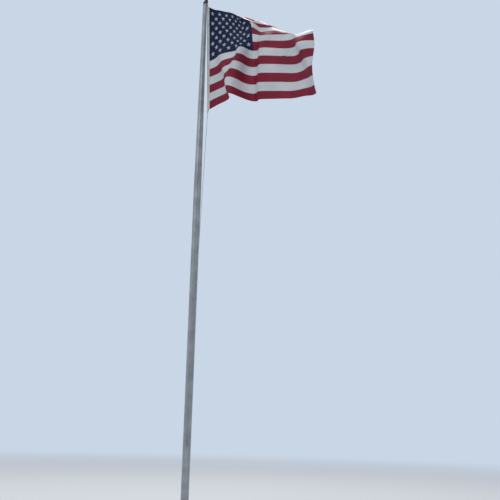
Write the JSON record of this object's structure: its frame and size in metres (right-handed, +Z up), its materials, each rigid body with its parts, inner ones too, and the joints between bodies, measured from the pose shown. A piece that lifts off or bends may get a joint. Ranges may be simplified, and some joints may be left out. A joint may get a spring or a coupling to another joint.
{
  "type": "flagpole",
  "caption": "Tapered metal flagpole with a ball finial on a turning head, a rope halyard over a sheave, a cleat low on the shaft and a national flag flying in the wind.",
  "frame": {"origin": "centre of the shaft on the face where it meets the finished ground", "axes": "+Z up the shaft, +X to the right in the picture, +Y away from its camera; the flag flies towards +X and -Y"},
  "size_m": [2.2697, 2.594, 10.9874],
  "materials": {
    "satin_shaft": "satin drawn tube, weathered to an even grey",
    "spun_collar": "bright spun sheet",
    "dark_casting": "sand casting with a dark weathered coat",
    "steel": "turned stainless steel",
    "bronze": "bearing bronze, dull",
    "sheave_metal": "cast and turned, worn in the groove",
    "ball_silver": "satin anodised spinning",
    "cleat_metal": "sand casting, satin",
    "rope": "braided polyester, off-white",
    "snap_metal": "cast bronze, tarnished",
    "heading_canvas": "duck canvas tape",
    "grommet_brass": "spun brass",
    "flag_cloth": "woven nylon in red, white and navy"
  },
  "bodies": {
    "pole": {"shaft": "satin_shaft", "flash_collar": "spun_collar", "spindle_base": "dark_casting", "spindle": "steel", "thrust_washer": "bronze", "cleat": "cleat_metal", "cleat_screw_upper": "steel", "cleat_screw_lower": "steel", "cleat_hitch": "rope", "halyard_haul": "rope", "halyard_downhaul": "rope"},
    "truck": {"truck_body": "dark_casting", "sheave_axle": "steel", "finial_stem": "steel", "finial_locknut": "steel", "finial_neck": "ball_silver", "finial_ball": "ball_silver", "halyard_crown": "rope", "halyard_lead": "rope", "halyard_span": "rope", "upper_knot": "rope", "lower_knot": "rope", "upper_snap_hook": "snap_metal", "upper_snap_gate": "snap_metal", "upper_snap_swivel": "snap_metal", "lower_snap_hook": "snap_metal", "lower_snap_gate": "snap_metal", "lower_snap_swivel": "snap_metal", "heading_strip": "heading_canvas", "grommet_top": "grommet_brass", "grommet_bottom": "grommet_brass", "flag": "flag_cloth"},
    "sheave": {"sheave": "sheave_metal", "sheave_bush": "bronze"}
  },
  "joints": [
    {"name": "truck_turn", "type": "hinge", "parent": "pole", "child": "truck", "pos_m": [0, 0, 10.68], "axis": [0, 0, 1], "continuous": true, "deforming": ["halyard_haul", "halyard_downhaul"]},
    {"name": "sheave_spin", "type": "hinge", "parent": "truck", "child": "sheave", "pos_m": [0.03429, -0.03429, 10.715], "axis": [0.7071, -0.7071, 0], "continuous": true}
  ]
}
